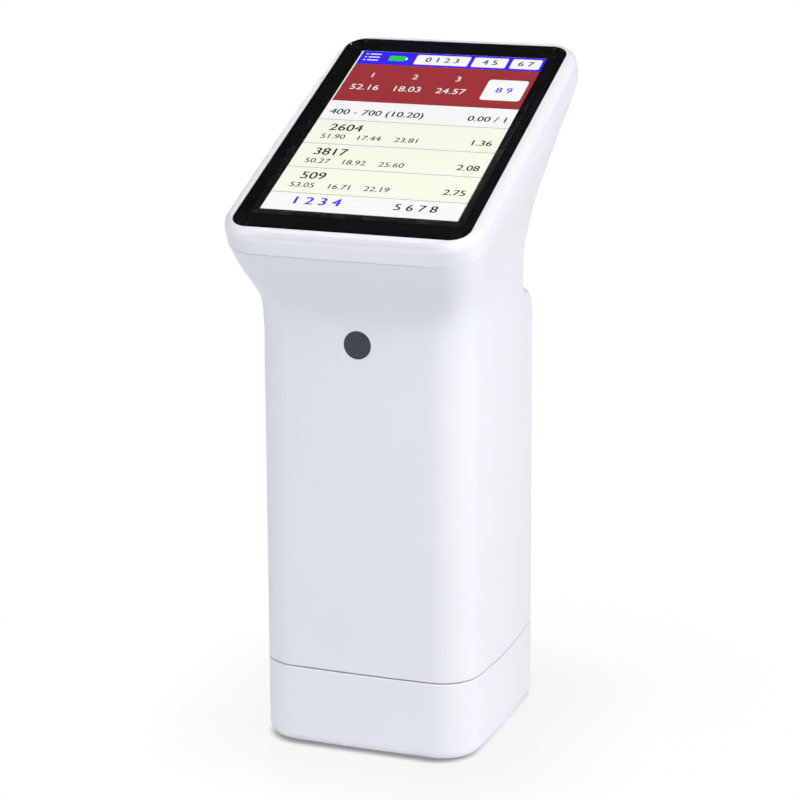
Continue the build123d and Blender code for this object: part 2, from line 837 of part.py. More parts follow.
# Key board on the spine's posts
with BuildPart() as key_board:
    with BuildSketch(rear_plane(key_board_y)):
        with Locations((0, scoop_height)):
            Rectangle(key_board_width, key_board_height)
        with Locations(*key_places):
            Circle(screw_radius + screw_clearance, mode=Mode.SUBTRACT)
    extrude(amount=sensor_board_thickness)
finish(key_board.part, "key_board")

key_screws = screws(key_places, rear_plane(switch_base_y), sensor_board_thickness + screw_bite)
finish(key_screws, "key_screws")

# Base plate: the floor that carries the measuring head, a skirt inside the column and the collar
# that the cap pushes onto, with a groove for the grip band
collar_bottom = seam_bottom - collar_depth
base_inset = wall + collar_clearance
housing_screw_reach = (housing_radius + housing_flange_radius) / 2 / sqrt(2)
housing_places = corners(housing_screw_reach, housing_screw_reach)

with BuildPart() as base_plate:
    extrude(column_section(collar_bottom, base_inset), amount=skirt_top - collar_bottom)
    extrude(
        column_section(collar_bottom, base_inset + collar_wall),
        amount=floor_bottom - collar_bottom,
        mode=Mode.SUBTRACT,
    )
    extrude(column_section(floor_top, base_inset + skirt_wall), amount=skirt_height, mode=Mode.SUBTRACT)
    groove_inset = wall + band_gap + band_depth + band_clearance
    extrude(
        column_section(band_height - band_clearance, wall, groove_inset - wall),
        amount=band_width + 2 * band_clearance,
        mode=Mode.SUBTRACT,
    )
    with BuildSketch(Plane.XY.offset(floor_bottom)):
        Circle(housing_radius + fixed_clearance)
        with Locations(*foot_places, *housing_places):
            Circle(screw_radius + screw_clearance)
    extrude(amount=floor_thickness, mode=Mode.SUBTRACT)
finish(base_plate.part, "base_plate")

# Screws through the floor: the foot places are symmetric, so they serve from below as well
base_screws = screws(foot_places, -Plane.XY.offset(floor_bottom), floor_thickness + screw_bite)
finish(base_screws, "base_screws")

# Grip band: the rubber loop that holds the cap on the collar
with BuildPart() as grip_band:
    extrude(column_section(band_height, wall + band_gap, band_depth), amount=band_width)
finish(grip_band.part, "grip_band")

# Aperture nose: a turned cone with the measuring aperture at its tip
with BuildPart() as aperture_nose:
    flange_base = nose_top - nose_flange
    cone_radius = nose_tip_radius + flange_base - nose_bottom
    with BuildSketch(Plane.XZ):
        with BuildLine():
            Polyline(
                (aperture_radius, nose_bottom),
                (nose_tip_radius, nose_bottom),
                (cone_radius, flange_base),
                (nose_flange_radius, flange_base),
                (nose_flange_radius, nose_top),
                (nose_mouth_radius, nose_top),
                (aperture_radius, nose_bottom + aperture_land),
                close=True,
            )
        make_face()
    revolve(axis=Axis.Z)
finish(aperture_nose.part, "aperture_nose")

# Dust window: clear disc above the nose
with BuildPart() as dust_window:
    with BuildSketch(Plane.XY.offset(nose_top)):
        Circle(window_radius)
    extrude(amount=window_thickness)
finish(dust_window.part, "dust_window")

# Optics housing: a turned body whose inner and outer lamp faces are cones square to the lamps,
# with a ring of bores at 45 degrees that meet at the aperture and an upright viewing bore
inner_cone_sum = lamp_inner_slant * sqrt(2) + nose_bottom
outer_cone_sum = lamp_outer_slant * sqrt(2) + nose_bottom
lamp_bore_radius = lamp_radius + lamp_clearance
ring_seat = flange_top - ring_seat_drop
spigot_seat_radius = spigot_radius + lamp_clearance

with BuildPart() as optics_housing:
    with BuildSketch(Plane.XZ):
        with BuildLine():
            Polyline(
                (cavity_radius, window_top),
                (window_radius + lamp_clearance, window_top),
                (window_radius + lamp_clearance, nose_top),
                (nose_flange_radius, nose_top),
                (housing_radius, nose_top + housing_radius - nose_flange_radius),
                (housing_radius, floor_top),
                (housing_flange_radius, floor_top),
                (housing_flange_radius, flange_top),
                (ring_board_radius + lamp_clearance, flange_top),
                (ring_board_radius + lamp_clearance, ring_seat),
                (pocket_radius, ring_seat),
                (pocket_radius, outer_cone_sum - pocket_radius),
                (hub_radius, outer_cone_sum - hub_radius),
                (hub_radius, hub_top),
                (spigot_seat_radius, hub_top),
                (spigot_seat_radius, hub_top - spigot_length - lamp_clearance),
                (view_bore_radius, hub_top - spigot_length - lamp_clearance),
                (view_bore_radius, inner_cone_sum - view_bore_radius),
                (cavity_radius, inner_cone_sum - cavity_radius),
                close=True,
            )
        make_face()
    revolve(axis=Axis.Z)
    lamp_seats = [
        Plane(
            origin=(
                lamp_outer_slant * sin(radians(45)) * cos(radians(turn)),
                lamp_outer_slant * sin(radians(45)) * sin(radians(turn)),
                nose_bottom + lamp_outer_slant * cos(radians(45)),
            ),
            x_dir=(-sin(radians(turn)), cos(radians(turn)), 0),
            z_dir=(cos(radians(turn)), sin(radians(turn)), 1),
        )
        for turn in [360 * (index + 0.5) / lamp_count for index in range(lamp_count)]
    ]
    for seat in lamp_seats:
        with BuildSketch(seat):
            Circle(lamp_bore_radius)
        extrude(amount=-lamp_outer_slant + lamp_inner_slant - lamp_radius, mode=Mode.SUBTRACT)
    with BuildSketch(Plane.XY.offset(floor_top)):
        with Locations(*housing_places):
            Circle(screw_radius + screw_clearance)
    extrude(amount=housing_flange_thickness, mode=Mode.SUBTRACT)
finish(optics_housing.part, "optics_housing")

housing_screw_length = housing_flange_thickness + floor_thickness - screw_clearance
housing_screws = screws(housing_places, Plane.XY.offset(flange_top), housing_screw_length)
finish(housing_screws, "housing_screws")

# Lamps: domed bodies with a rim on the outer cone and a lead up to their board
with BuildPart() as lamps:
    for seat in lamp_seats:
        with BuildSketch(seat):
            Circle(lamp_rim_radius)
        extrude(amount=lamp_rim_thickness)
        with BuildSketch(seat):
            Circle(lamp_radius)
        extrude(amount=lamp_radius - lamp_length)
        with Locations(seat.offset(lamp_radius - lamp_length)):
            Sphere(lamp_radius)
    lead_reach = (lamp_outer_slant + lamp_rim_thickness / 2) * sin(radians(45))
    lead_base = nose_bottom + lead_reach
    with BuildSketch(Plane.XY.offset(lead_base)):
        with PolarLocations(lead_reach, lamp_count, start_angle=180 / lamp_count):
            Rectangle(lead_side, lead_side)
    extrude(amount=ring_seat - lead_base)
finish(lamps.part, "lamps")

# Lamp board: the ring that feeds the lamps
with BuildPart() as lamp_board:
    with BuildSketch(Plane.XY.offset(ring_seat)):
        Circle(ring_board_radius)
        Circle(outer_cone_sum - ring_seat + fixed_clearance, mode=Mode.SUBTRACT)
    extrude(amount=ring_board_thickness)
finish(lamp_board.part, "lamp_board")

# Viewing tube: spigot in the hub, lens seat above
lens_seat = hub_top + tube_step
with BuildPart() as viewing_tube:
    with BuildSketch(Plane.XZ):
        with BuildLine():
            Polyline(
                (view_bore_radius, hub_top - spigot_length),
                (spigot_radius, hub_top - spigot_length),
                (spigot_radius, hub_top),
                (tube_radius, hub_top),
                (tube_radius, tube_top),
                (tube_bore_radius, tube_top),
                (tube_bore_radius, lens_seat),
                (view_bore_radius, lens_seat),
                close=True,
            )
        make_face()
    revolve(axis=Axis.Z)
finish(viewing_tube.part, "viewing_tube")

# Lens: flat below, bulged above
with BuildPart() as lens:
    rim = lens_seat + lens_thickness - lens_bulge
    with BuildSketch(Plane.XZ):
        with BuildLine():
            Polyline((0, rim + lens_bulge), (0, lens_seat), (lens_radius, lens_seat), (lens_radius, rim))
            bulge_centre = rim + lens_bulge - (lens_radius**2 + lens_bulge**2) / (2 * lens_bulge)
            crown = rim + lens_bulge - bulge_centre
            middle = radians(90) - 0.5 * atan2(lens_radius, rim - bulge_centre)
            ThreePointArc(
                (lens_radius, rim),
                (crown * cos(middle), bulge_centre + crown * sin(middle)),
                (0, rim + lens_bulge),
            )
        make_face()
    revolve(axis=Axis.Z)
finish(lens.part, "lens")

# Lens ring: holds the lens down and carries the filter
ring_bottom = lens_seat + lens_thickness
with BuildPart() as lens_ring:
    with BuildSketch(Plane.XY.offset(ring_bottom)):
        Circle(lens_radius)
        Circle(lens_ring_bore_radius, mode=Mode.SUBTRACT)
    extrude(amount=lens_ring_thickness)
finish(lens_ring.part, "lens_ring")

# Colour filter
with BuildPart() as colour_filter:
    with BuildSketch(Plane.XY.offset(ring_bottom + lens_ring_thickness)):
        Circle(lens_radius)
    extrude(amount=filter_thickness)
finish(colour_filter.part, "colour_filter")

# Sensor board on the tube's top, screwed up to the shelf's bosses
with BuildPart() as sensor_board:
    with BuildSketch(Plane.XY.offset(tube_top)):
        Rectangle(sensor_board_width, sensor_board_depth)
        with Locations(*sensor_places):
            Circle(screw_radius + screw_clearance, mode=Mode.SUBTRACT)
    extrude(amount=sensor_board_thickness)
finish(sensor_board.part, "sensor_board")

sensor_screws = screws(sensor_places, -Plane.XY.offset(tube_top), sensor_board_thickness + screw_bite)
finish(sensor_screws, "sensor_screws")

# Colour sensor, facing down the tube
with BuildPart() as colour_sensor:
    with BuildSketch(Plane.XY.offset(tube_top)):
        Rectangle(sensor_side, sensor_side)
    extrude(amount=-sensor_thickness)
finish(colour_sensor.part, "colour_sensor")

# Cap shell: flush with the column, open at the top
with BuildPart() as cap_shell:
    loft(sections=[column_section(0), column_section(seam_bottom)], ruled=True)
    fillet(cap_shell.faces().sort_by(Axis.Z)[0].edges(), cap_edge_radius)
    fillet(cap_shell.faces().sort_by(Axis.Z)[-1].edges(), rim_edge_radius)
    extrude(column_section(cap_floor, wall), amount=seam_bottom - cap_floor, mode=Mode.SUBTRACT)
finish(cap_shell.part, "cap_shell")

# Tile cushion, white reference tile and its holder on the cap's floor
with BuildPart() as tile_cushion:
    with BuildSketch(Plane.XY.offset(cap_floor)):
        Circle(tile_radius)
    extrude(amount=cushion_thickness)
finish(tile_cushion.part, "tile_cushion")

with BuildPart() as white_tile:
    with BuildSketch(Plane.XY.offset(cap_floor + cushion_thickness)):
        Circle(tile_radius)
    extrude(amount=tile_thickness)
finish(white_tile.part, "white_tile")

with BuildPart() as tile_holder:
    with BuildSketch(Plane.XY.offset(cap_floor)):
        Circle(tile_radius + fixed_clearance + holder_wall)
        Circle(tile_radius + fixed_clearance, mode=Mode.SUBTRACT)
    extrude(amount=holder_height)
finish(tile_holder.part, "tile_holder")
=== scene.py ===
import math

import bmesh
import bpy
from mathutils import Matrix, Vector


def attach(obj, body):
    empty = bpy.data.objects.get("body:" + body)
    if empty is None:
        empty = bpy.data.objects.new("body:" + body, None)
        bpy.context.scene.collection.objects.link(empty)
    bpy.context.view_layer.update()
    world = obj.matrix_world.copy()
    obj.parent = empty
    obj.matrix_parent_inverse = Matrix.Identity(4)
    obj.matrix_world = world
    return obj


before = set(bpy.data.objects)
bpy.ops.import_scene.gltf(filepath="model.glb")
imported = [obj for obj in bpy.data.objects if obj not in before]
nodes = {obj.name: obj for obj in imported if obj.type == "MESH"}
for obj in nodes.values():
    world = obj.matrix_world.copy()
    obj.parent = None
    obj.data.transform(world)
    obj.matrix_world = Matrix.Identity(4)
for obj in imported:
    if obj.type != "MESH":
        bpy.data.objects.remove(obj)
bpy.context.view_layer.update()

MM = 0.001
link = bpy.context.scene.collection.objects.link

# Camera, fitted to the photograph. Angles are in radians, the distance from the target and the
# shifts are in millimetres, and the focal length is in pixels of the picture.
turn, lift, roll = 0.3556, 0.2675, -0.0057
target, distance = Vector((0, 0, 88)), 639.08
shift_across, shift_up = -0.2601, -6.6023
picture_size, focal = 800, 2612.8
back = Vector((math.sin(turn) * math.cos(lift), -math.cos(turn) * math.cos(lift), math.sin(lift)))
across = Vector((math.cos(turn), math.sin(turn), 0))
upward = back.cross(across)
right = math.cos(roll) * across + math.sin(roll) * upward
up = -math.sin(roll) * across + math.cos(roll) * upward
eye = (target + distance * back + shift_across * across + shift_up * upward) * MM
lens = bpy.data.cameras.new("camera")
lens.sensor_width = 36
lens.lens = focal / picture_size * lens.sensor_width
camera = bpy.data.objects.new("camera", lens)
camera.matrix_world = Matrix.Translation(eye) @ Matrix((right, up, back)).transposed().to_4x4()
link(camera)
bpy.context.scene.camera = camera
bpy.context.scene.view_settings.view_transform = "Standard"


class Ink:
    """A shader socket that takes part in sums."""

    def __init__(self, tree, socket):
        self.tree, self.socket = tree, socket

    def node(self, kind, output=0, links=None, **settings):
        made = self.tree.nodes.new(kind)
        for key, value in settings.items():
            setattr(made, key, value)
        for key, value in (links or {}).items():
            if isinstance(value, Ink):
                self.tree.links.new(value.socket, made.inputs[key])
            else:
                made.inputs[key].default_value = value
        return Ink(self.tree, made.outputs[output])

    def sum(self, kind, *others):
        links = {0: self}
        links.update({index + 1: other for index, other in enumerate(others)})
        return self.node("ShaderNodeMath", links=links, operation=kind)

    def __add__(self, other):
        return self.sum("ADD", other)

    def __radd__(self, other):
        return self.sum("ADD", other)

    def __sub__(self, other):
        return self.sum("SUBTRACT", other)

    def __rsub__(self, other):
        return (self * -1.0).sum("ADD", other)

    def __mul__(self, other):
        return self.sum("MULTIPLY", other)

    def __rmul__(self, other):
        return self.sum("MULTIPLY", other)

    def power(self, other):
        return self.sum("POWER", other)

    def sine(self):
        return self.sum("SINE")

    def fraction(self):
        return self.sum("FRACT")

    def size(self):
        return self.sum("ABSOLUTE")

    def span(self, low, high, start=0.0, end=1.0):
        """Maps low..high smoothly onto start..end."""
        links = {0: self, 1: low, 2: high, 3: start, 4: end}
        return self.node("ShaderNodeMapRange", links=links, interpolation_type="SMOOTHSTEP")

    def mix(self, first, second):
        """Colour between first and second by this share."""
        made = self.node("ShaderNodeMix", data_type="RGBA", clamp_factor=True)
        node = made.socket.node
        self.tree.links.new(self.socket, node.inputs[0])
        for slot, value in ((6, first), (7, second)):
            if isinstance(value, Ink):
                self.tree.links.new(value.socket, node.inputs[slot])
            else:
                node.inputs[slot].default_value = (*value, 1)
        return Ink(self.tree, node.outputs[2])

    def noise(self, scale, detail=2.0, rough=0.5, distortion=0.0):
        links = {"Vector": self, "Scale": scale, "Detail": detail, "Roughness": rough}
        links["Distortion"] = distortion
        return self.node("ShaderNodeTexNoise", links=links)

    def stretch(self, x, y, z):
        """This place, scaled along each axis."""
        return self.node("ShaderNodeVectorMath", links={0: self, 1: (x, y, z)}, operation="MULTIPLY")

    def part(self, axis):
        return self.node("ShaderNodeSeparateXYZ", output="XYZ".index(axis), links={0: self})

    def toned(self, share):
        """This colour, made lighter or darker."""
        return self.node("ShaderNodeVectorMath", links={0: self, "Scale": share}, operation="SCALE")


def material(name, paint, **fixed):
    """A principled material. paint(place, bsdf) links what varies, and fixed sets what doesn't."""
    made = bpy.data.materials.new(name)
    made.use_nodes = True
    tree = made.node_tree
    bsdf = tree.nodes["Principled BSDF"]
    for key, value in fixed.items():
        socket = bsdf.inputs[key.replace("_", " ")]
        socket.default_value = (*value, 1) if isinstance(value, tuple) and len(value) == 3 else value
    place = Ink(tree, tree.nodes.new("ShaderNodeTexCoord").outputs["Object"])
    for key, value in paint(place).items():
        if key == "Bump":
            height, strength, distance = value
            bump = place.node(
                "ShaderNodeBump",
                links={"Height": height, "Strength": strength, "Distance": distance},
            )
            tree.links.new(bump.socket, bsdf.inputs["Normal"])
        else:
            tree.links.new(value.socket, bsdf.inputs[key])
    return made


def dress(made, *names):
    """Gives CAD nodes a material in place of the plain one."""
    for name in names:
        nodes[name].data.materials.clear()
        nodes[name].data.materials.append(made)


def moulded(light, dark, grain=5200.0, bump=0.035, gloss=(0.30, 0.38)):
    """Moulded plastic: fine spark-eroded grain, faint clouding and a patchy sheen."""

    def paint(place):
        cloud = place.noise(38.0, 3.0, 0.55)
        grit = place.noise(grain, 2.0, 0.6)
        sheen = place.noise(120.0, 4.0, 0.6)
        return {
            "Base Color": (cloud * 0.7 + grit * 0.3).span(0.3, 0.7).mix(dark, light),
            "Roughness": sheen.span(0.3, 0.7, *gloss),
            "Bump": (grit, bump, 0.00004),
        }

    return paint


def sheet_metal(light, dark, along=(1, 40, 40)):
    """Rolled sheet: fine lines along one axis and soft blotches."""

    def paint(place):
        lines = place.stretch(*along).noise(300.0, 4.0, 0.7)
        blotch = place.noise(150.0, 3.0, 0.5)
        return {
            "Base Color": (lines * 0.6 + blotch * 0.4).span(0.3, 0.7).mix(dark, light),
            "Roughness": lines.span(0.2, 0.8, 0.26, 0.44),
            "Bump": (lines, 0.08, 0.00003),
        }

    return paint


def turned(light, dark, pitch=0.00022):
    """Turned and anodised metal: fine rings around the upright axis."""

    def paint(place):
        x, y, z = (place.part(axis) for axis in "XYZ")
        radius = (x * x + y * y).power(0.5)
        rings = ((radius + z) * (math.tau / pitch)).sine()
        haze = place.noise(400.0, 3.0, 0.6)
        return {
            "Base Color": haze.span(0.3, 0.7).mix(dark, light),
            "Roughness": haze.span(0.2, 0.8, 0.34, 0.52),
            "Bump": (rings, 0.06, 0.00002),
        }

    return paint


def laminate(place):
    """Circuit board: solder resist over tracks, with pads along a grid."""
    x, y, z = (place.part(axis) for axis in "XYZ")
    wander = place.noise(160.0, 1.0, 0.4)
    track = (((x + y * 0.5 + z * 0.3) * 900.0 + wander * 3.0).fraction() - 0.5).size().span(0.10, 0.16)
    pad = ((x * 420.0).fraction() - 0.5).size().span(0.16, 0.2)
    copper = track.mix((0.06, 0.30, 0.16), (0.02, 0.15, 0.07))
    return {
        "Base Color": pad.mix((0.05, 0.24, 0.12), copper),
        "Roughness": wander.span(0.2, 0.8, 0.28, 0.42),
        "Bump": (track, 0.3, 0.00005),
    }


def film(place):
    """Flexible circuit: amber film over parallel conductors."""
    lines = ((place.part("X") * 1000.0).fraction() - 0.5).size().span(0.18, 0.26)
    cloud = place.noise(300.0, 2.0, 0.5)
    return {
        "Base Color": lines.mix((0.70, 0.36, 0.08), (0.42, 0.19, 0.04)),
        "Roughness": cloud.span(0.2, 0.8, 0.22, 0.4),
        "Bump": (lines, 0.2, 0.00004),
    }


def pouch(place):
    """Foil pouch: creases and a dull sheen."""
    crease = place.noise(240.0, 5.0, 0.7, 0.6)
    return {
        "Base Color": crease.span(0.35, 0.65).mix((0.58, 0.59, 0.61), (0.76, 0.77, 0.79)),
        "Roughness": crease.span(0.2, 0.8, 0.24, 0.46),
        "Bump": (crease, 0.35, 0.00012),
    }


def woven(place):
    """Woven tape: two crossing sets of threads."""
    threads = [((place.part(axis) * (math.tau / 0.0008)).sine() + 1.0) * 0.5 for axis in "XZ"]
    weave = threads[0] * threads[1]
    return {
        "Base Color": weave.span(0.1, 0.9).mix((0.02, 0.02, 0.024), (0.10, 0.10, 0.11)),
        "Roughness": weave.span(0.0, 1.0, 0.9, 0.75),
        "Bump": (weave, 0.6, 0.00015),
    }


def foam(light, dark, scale=2600.0):
    """Rubber or foam: open grain."""

    def paint(place):
        pores = place.noise(scale, 3.0, 0.7)
        return {
            "Base Color": pores.span(0.3, 0.7).mix(dark, light),
            "Roughness": pores.span(0.2, 0.8, 0.82, 0.62),
            "Bump": (pores, 0.4, 0.0001),
        }

    return paint


def glazed(light, dark):
    """Glazed ceramic: a deep even gloss with faint specks."""

    def paint(place):
        specks = place.noise(1800.0, 2.0, 0.5)
        wave = place.noise(60.0, 2.0, 0.5)
        return {
            "Base Color": specks.span(0.25, 0.4).mix(dark, light),
            "Roughness": wave.span(0.3, 0.7, 0.05, 0.12),
            "Bump": (wave, 0.02, 0.0002),
        }

    return paint


def clear(light, dark, gloss=(0.01, 0.03)):
    """Glass or clear resin: almost even, with a trace of haze."""

    def paint(place):
        haze = place.noise(45.0, 3.0, 0.5)
        return {
            "Base Color": haze.span(0.3, 0.7).mix(dark, light),
            "Roughness": haze.span(0.3, 0.8, *gloss),
        }

    return paint


# The head's slope and the centre of the glass in millimetres, and its level above that slope and
# place along it in metres
slope = math.radians(22.5)
glass_y, glass_z = 3.6, 146.7
glass_rise = (glass_z * math.cos(slope) - glass_y * math.sin(slope)) * MM
glass_run = (glass_z * math.sin(slope) + glass_y * math.cos(slope)) * MM


def parted(base, paint_lip_light):
    """Adds the fine parting line of head and column as painted shade, and on the head's front face a painted
    highlight along its lip, painted shade just under it and painted light lower down.
    """
    seam_drop = 0.0057

    def paint(place):
        made = base(place)
        x, y, z = (place.part(axis) for axis in "XYZ")
        rise = z * math.cos(slope) - y * math.sin(slope) - glass_rise
        run = z * math.sin(slope) + y * math.cos(slope) - glass_run
        front = run.span(-0.044, -0.040, 1.0, 0.0)
        # Painted shade along the parting line, deepest on the front face between the corners
        line = (rise + seam_drop).size().span(0.00006, 0.00016, 1.0, 0.0)
        painted_light_tone = 1.0 - line * (0.06 + 0.24 * front * x.span(0.016, 0.026, 1.0, 0.0))
        if paint_lip_light:
            # Painted light on the head's front face: a painted highlight along the lip at the glass, painted
            # shade in a band just under it, and the face lighter further down
            between_corners = x.size().span(0.019, 0.028, 1.0, 0.0)
            lip = rise.span(-0.0003, -0.00002, 0.0, 0.25)
            face = rise.span(-0.0018, -0.0008, 0.24, 0.0)
            painted_light_tone = painted_light_tone * (1.0 + front * between_corners * (lip + face - 0.15))
        made["Base Color"] = made["Base Color"].toned(painted_light_tone)
        return made

    return paint


pale, shaded = (0.865, 0.875, 0.905), (0.845, 0.855, 0.888)
gloss = {"Specular_IOR_Level": 0.5, "Coat_Weight": 0.12, "Coat_Roughness": 0.22}
dress(material("white_plastic", moulded(pale, shaded), **gloss), "cap_shell")
dress(material("column_plastic", parted(moulded(pale, shaded), False), **gloss), "column_shell")
dress(material("head_plastic", parted(moulded(pale, shaded), True), **gloss), "head_frame")
dress(material("key_plastic", moulded((0.50, 0.52, 0.55), (0.44, 0.46, 0.49))), "measure_key")
dress(
    material(
        "cover_glass",
        clear((0.99, 0.995, 1.0), (0.985, 0.99, 0.995), (0.0, 0.012)),
        Transmission_Weight=1.0,
        IOR=1.45,
        Specular_IOR_Level=0.35,
    ),
    "cover_glass",
)
dress(
    material(
        "optical_glass",
        clear((0.97, 0.99, 0.99), (0.94, 0.97, 0.98)),
        Transmission_Weight=1.0,
        IOR=1.5,
    ),
    "dust_window",
    "lens",
)
dress(
    material(
        "filter_glass",
        clear((0.55, 0.78, 0.80), (0.48, 0.72, 0.75)),
        Transmission_Weight=1.0,
        IOR=1.5,
    ),
    "colour_filter",
)
dress(
    material(
        "border_ink",
        moulded((0.0165, 0.0170, 0.0195), (0.0140, 0.0145, 0.0165), 3000.0, 0.01, (0.35, 0.45)),
        Specular_IOR_Level=0.0,
    ),
    "border_mask",
)
dress(
    material("black_foam", foam((0.055, 0.055, 0.06), (0.02, 0.02, 0.022))),
    "display_gasket",
    "tile_cushion",
)
dress(material("band_rubber", foam((0.06, 0.06, 0.062), (0.035, 0.035, 0.037), 4200.0)), "grip_band")
dress(material("panel_edge", moulded((0.60, 0.61, 0.60), (0.52, 0.53, 0.52))), "display_panel")
dress(
    material("clear_acrylic", clear((0.93, 0.95, 0.95), (0.88, 0.91, 0.91), (0.04, 0.1)), IOR=1.49),
    "light_guide",
)
dress(
    material("tinned_steel", sheet_metal((0.72, 0.72, 0.73), (0.52, 0.52, 0.54)), Metallic=1.0),
    "backlight_tray",
    "radio_shield",
    "charge_socket",
)
dress(
    material("screw_steel", sheet_metal((0.62, 0.62, 0.65), (0.44, 0.44, 0.47), (30, 30, 3)), Metallic=1.0),
    *[name for name in nodes if name.endswith("_screws")],
)
dress(
    material("circuit_board", laminate),
    "main_board",
    "charge_board",
    "key_board",
    "sensor_board",
    "lamp_board",
)
dress(material("circuit_film", film), "display_ribbon", "signal_ribbon")
dress(
    material(
        "black_moulding",
        moulded((0.042, 0.043, 0.047), (0.028, 0.028, 0.031), 4200.0, 0.06, (0.42, 0.55)),
    ),
    "board_chips",
    "buzzer",
    "tact_switch",
    "colour_sensor",
    "tile_holder",
)
dress(
    material(
        "base_moulding",
        moulded((0.56, 0.57, 0.59), (0.50, 0.51, 0.53), 3600.0, 0.08, (0.42, 0.55)),
    ),
    "base_plate",
)
dress(
    material("grey_moulding", moulded((0.22, 0.23, 0.24), (0.17, 0.18, 0.19), 3600.0, 0.08, (0.45, 0.6))),
    "chassis",
    "switch_plunger",
)
dress(material("foil_pouch", pouch, Metallic=0.85), "battery")
dress(material("woven_tape", woven, Sheen_Weight=0.3), "battery_strap")
dress(
    material("black_anodised", turned((0.05, 0.05, 0.055), (0.025, 0.025, 0.028)), Metallic=0.6),
    "aperture_nose",
    "optics_housing",
    "viewing_tube",
    "lens_ring",
)
dress(material("lamp_resin", clear((0.94, 0.93, 0.82), (0.88, 0.86, 0.70), (0.05, 0.12))), "lamps")
dress(material("tile_glaze", glazed((0.93, 0.93, 0.915), (0.86, 0.86, 0.84)), Coat_Weight=0.6), "white_tile")

# The screen's picture lies between the panel and the glass. Places on it are in millimetres from
# its lower left corner, along and up the slope.
screen_x = Vector((1, 0, 0))
screen_y = Vector((0, math.cos(slope), math.sin(slope)))
screen_out = Vector((0, -math.sin(slope), math.cos(slope)))
screen_width, screen_length = 48.96, 73.44
screen_aside, screen_upslope = 0.1, 2.0
screen_corner = (
    Vector((0, glass_y, glass_z))
    + screen_y * (screen_upslope - screen_length / 2)
    - screen_x * (screen_width / 2 - screen_aside)
)
panel_drop, layer_step = 1.35, 0.02
dot_pitch, dot_rise = 0.000153, 0.00006


def on_screen(x, y, layer):
    depth = panel_drop - layer_step * layer
    return (screen_corner + screen_x * x + screen_y * y - screen_out * depth) * MM


def add_piece(name, mesh, made, body="instrument"):
    piece = bpy.data.objects.new(name, mesh)
    link(piece)
    mesh.materials.clear()
    mesh.materials.append(made)
    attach(piece, body)
    return piece


def rounded(x0, y0, x1, y1, radius, steps=6):
    """Outline of a rounded rectangle, anticlockwise."""
    points = []
    corners = ((x1, y1, 0), (x0, y1, 90), (x0, y0, 180), (x1, y0, 270))
    for x, y, start in corners:
        cx = x - radius if x == x1 else x + radius
        cy = y - radius if y == y1 else y + radius
        for step in range(steps + 1):
            angle = math.radians(start + 90 * step / steps)
            points.append((cx + radius * math.cos(angle), cy + radius * math.sin(angle)))
    return points


def lettering(value, size):
    """Outlines of plain figures as mesh triangles, starting at the origin."""
    curve = bpy.data.curves.new("figures", "FONT")
    curve.body = value
    curve.size = size
    curve.resolution_u = 3
    holder = bpy.data.objects.new("figures", curve)
    link(holder)
    bpy.context.view_layer.update()
    mesh = bpy.data.meshes.new_from_object(holder)
    bpy.data.objects.remove(holder)
    return mesh


class Picture:
    """Flat shapes of one colour on the screen, gathered into one mesh."""

    def __init__(self, name, colour, layer):
        self.name, self.colour, self.layer = name, colour, layer
        self.shape = bmesh.new()

    def patch(self, points):
        self.shape.faces.new([self.shape.verts.new(on_screen(x, y, self.layer)) for x, y in points])

    def block(self, x0, y0, x1, y1, radius=0.0):
        self.patch(rounded(x0, y0, x1, y1, radius) if radius else [(x0, y0), (x1, y0), (x1, y1), (x0, y1)])

    def figures(self, value, x, y, size, bold=0.0):
        """Figures centred on x, standing on y."""
        mesh = lettering(value, size)
        wide = max(v.co.x for v in mesh.vertices) + min(v.co.x for v in mesh.vertices)
        for shift in (-bold, 0.0, bold) if bold else (0.0,):
            corners = [
                self.shape.verts.new(on_screen(x + v.co.x - wide / 2 + shift, y + v.co.y, self.layer))
                for v in mesh.vertices
            ]
            for face in mesh.polygons:
                self.shape.faces.new([corners[index] for index in face.vertices])
        bpy.data.meshes.remove(mesh)

    def finish(self):
        """Makes the piece, lit by its own fine dots."""
        mesh = bpy.data.meshes.new(self.name)
        self.shape.normal_update()
        for face in self.shape.faces:
            if face.normal.dot(screen_out) < 0:
                face.normal_flip()
        self.shape.to_mesh(mesh)
        self.shape.free()

        def paint(place):
            columns = (place.part("X") * (math.tau / dot_pitch)).sine()
            dots = columns * (place.part("Z") * (math.tau / dot_rise)).sine()
            fade = place.noise(18.0, 2.0, 0.5)
            dim = tuple(channel * 0.94 for channel in self.colour)
            return {"Emission Color": (dots * 0.2 + fade).span(0.2, 0.8).mix(dim, self.colour)}

        made = material(
            self.name,
            paint,
            Base_Color=(0.01, 0.01, 0.01),
            Roughness=0.6,
            Specular_IOR_Level=0.0,
            Emission_Strength=1.2,
        )
        return add_piece(self.name, mesh, made)


# Levels of the bar, the band and the rows up the screen
W, L = screen_width, screen_length
margin = 0.35
band_foot, bar_foot, bar_head = L * 0.665, L * 0.910, L * 0.995
row_edges = (L * 0.545, L * 0.395, L * 0.25, L * 0.10)
rule_half = 0.12
ground = Picture("screen_white", (0.94, 0.94, 0.94), 1)
ground.block(0, 0, W, L)
bar = Picture("screen_blue", (0.032, 0.012, 0.93), 2)
bar.block(margin, bar_foot, W, bar_head)
band = Picture("screen_red", (0.345, 0.030, 0.036), 2)
band.block(margin, band_foot, W, bar_foot)
rows = Picture("screen_cream", (0.93, 0.96, 0.80), 2)
rows.block(margin, row_edges[3], W, row_edges[0])
rules = Picture("screen_rules", (0.42, 0.43, 0.40), 3)
for edge in row_edges:
    rules.block(0, edge - rule_half, W, edge + rule_half)
battery = Picture("screen_green", (0.02, 0.62, 0.05), 4)
keys = Picture("screen_keys", (0.95, 0.95, 0.97), 3)
ink = Picture("screen_ink", (0.012, 0.012, 0.014), 4)
blue_ink = Picture("screen_blue_ink", (0.06, 0.035, 0.86), 4)

